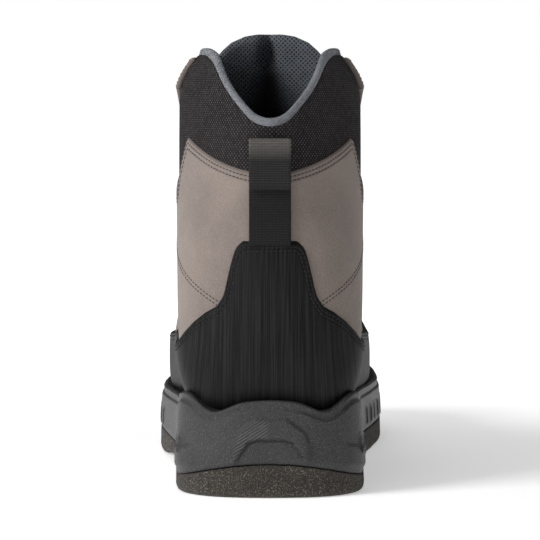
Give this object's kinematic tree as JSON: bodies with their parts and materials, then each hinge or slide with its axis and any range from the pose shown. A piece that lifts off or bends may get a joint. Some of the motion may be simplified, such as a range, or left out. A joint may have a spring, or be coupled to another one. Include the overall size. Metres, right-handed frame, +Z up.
{
  "type": "wading boot",
  "caption": "Ankle-high wading boot for the left foot: felt outsole, cupped rubber midsole, nubuck upper with mesh collar, coated heel counter and toe rand, padded tongue, lace and pull loop",
  "frame": {"origin": "on the floor under the middle of the heel, 45 mm forward of the outsole's back", "axes": "+Z up, +Y towards the toe, +X towards the inner (medial) side of this left boot"},
  "size_m": [0.1124, 0.3109, 0.208],
  "materials": {
    "felt": "needled felt, matte",
    "moulded_rubber": "grainy satin",
    "footbed_foam": "matte",
    "nubuck": "fine nap, matte",
    "coated_textile": "coated, streaked, satin",
    "spacer_mesh": "open mesh, matte",
    "knit_lining": "knitted, matte",
    "webbing": "ribbed weave",
    "lace_cord": "braided",
    "dark_metal": "satin black"
  },
  "bodies": {
    "root": {"outsole_felt": "felt", "midsole_rubber": "moulded_rubber", "insole": "footbed_foam", "upper": "nubuck", "heel_counter": "coated_textile", "toe_rand": "coated_textile", "tongue": "spacer_mesh", "collar_lining": "knit_lining", "eyestay_lateral": "nubuck", "eyestay_medial": "nubuck", "pull_loop": "webbing", "lace": "lace_cord", "lace_loop_1_lateral": "dark_metal", "lace_loop_1_medial": "dark_metal", "lace_loop_2_lateral": "dark_metal", "lace_loop_2_medial": "dark_metal", "lace_loop_3_lateral": "dark_metal", "lace_loop_3_medial": "dark_metal", "lace_hook_1_lateral": "dark_metal", "lace_hook_1_medial": "dark_metal", "lace_hook_2_lateral": "dark_metal", "lace_hook_2_medial": "dark_metal", "lace_hook_3_lateral": "dark_metal", "lace_hook_3_medial": "dark_metal"}
  },
  "joints": []
}
